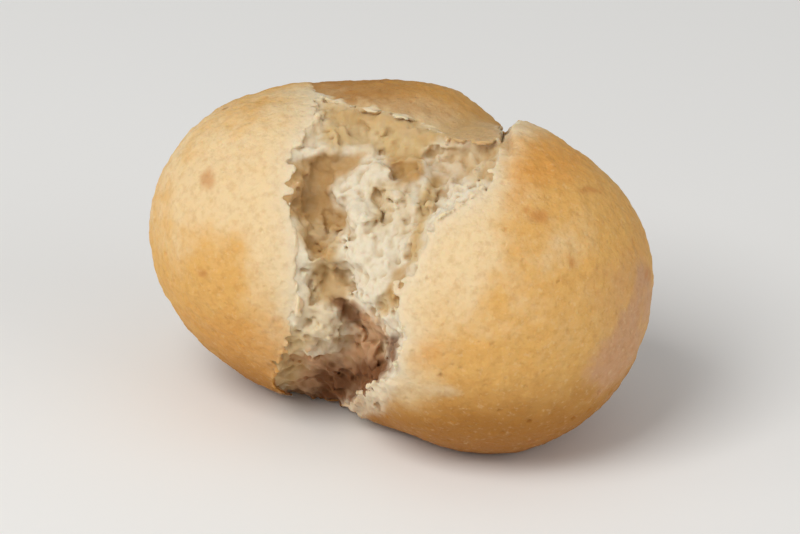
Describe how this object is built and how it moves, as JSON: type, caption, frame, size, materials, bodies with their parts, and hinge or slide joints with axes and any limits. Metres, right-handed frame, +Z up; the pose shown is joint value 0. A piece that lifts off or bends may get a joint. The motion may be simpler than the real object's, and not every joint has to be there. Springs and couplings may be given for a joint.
{
  "type": "torn fried dough ball",
  "caption": "Golden fried dough ball pulled open by hand, two rounded crusted halves still joined at the back, pale torn crumb showing in the wedge between them.",
  "frame": {"origin": "on the floor under the middle of the bounding box", "axes": "+X from the left half to the right half, +Y away from the tear, +Z up as it rests"},
  "size_m": [0.0629, 0.0537, 0.0404],
  "materials": {
    "fried_dough": "satin"
  },
  "bodies": {
    "root": {"dough_ball": "fried_dough"}
  },
  "joints": []
}
